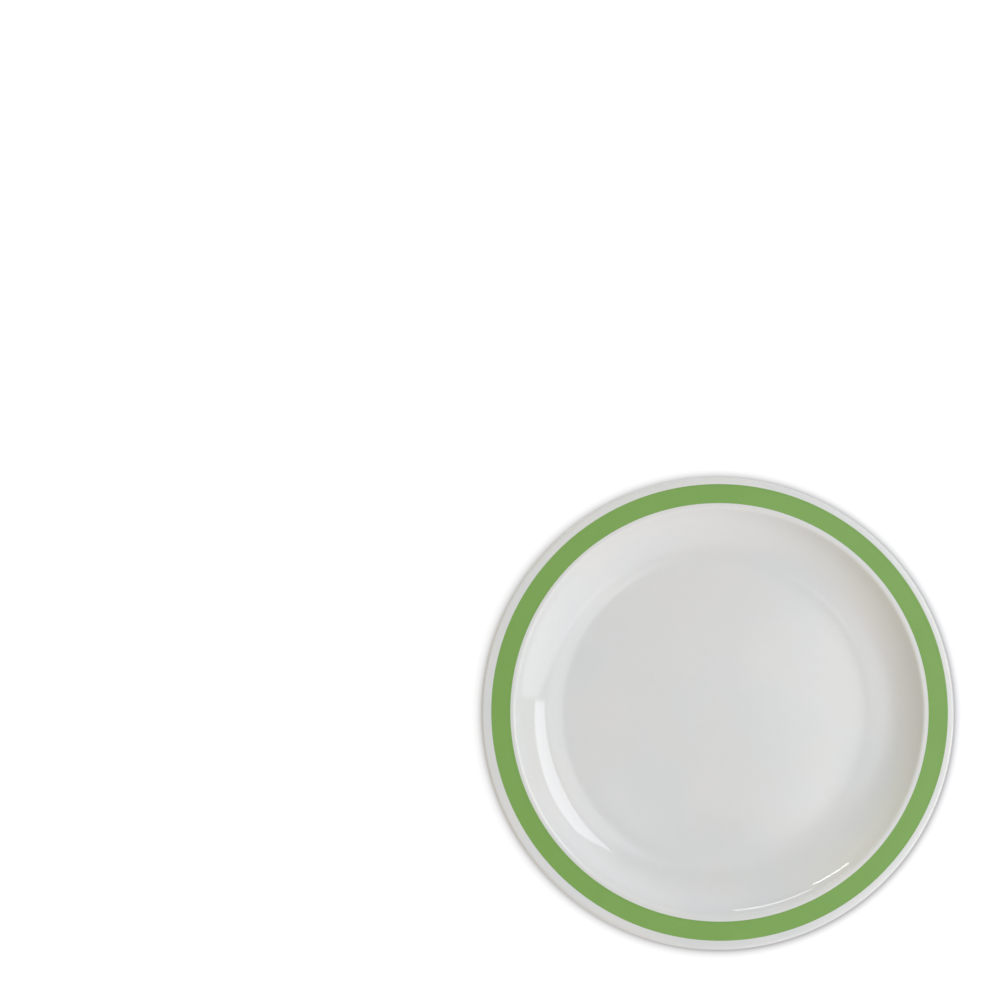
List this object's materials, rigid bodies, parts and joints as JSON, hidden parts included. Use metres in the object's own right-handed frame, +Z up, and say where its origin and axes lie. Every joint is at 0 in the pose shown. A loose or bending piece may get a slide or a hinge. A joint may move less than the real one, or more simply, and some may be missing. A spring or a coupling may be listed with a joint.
{
  "type": "dinner plate",
  "caption": "Round white glazed china dinner plate: a flat well, a curved wall and a narrow rim with an inlaid green band, standing on a bare foot ring.",
  "frame": {"origin": "centre of the foot ring's bottom plane, on the axis of revolution, so the plate stands on z = 0", "axes": "+Z up along the axis of revolution; +X to the right and +Y away from the viewer in the front view"},
  "size_m": [0.267, 0.267, 0.0233],
  "materials": {
    "china": "matte",
    "glaze": "gloss",
    "base_glaze": "gloss",
    "green_enamel": "gloss"
  },
  "bodies": {
    "root": {"china_body": "china", "outer_glaze": "glaze", "base_glaze": "base_glaze", "green_band": "green_enamel"}
  },
  "joints": []
}
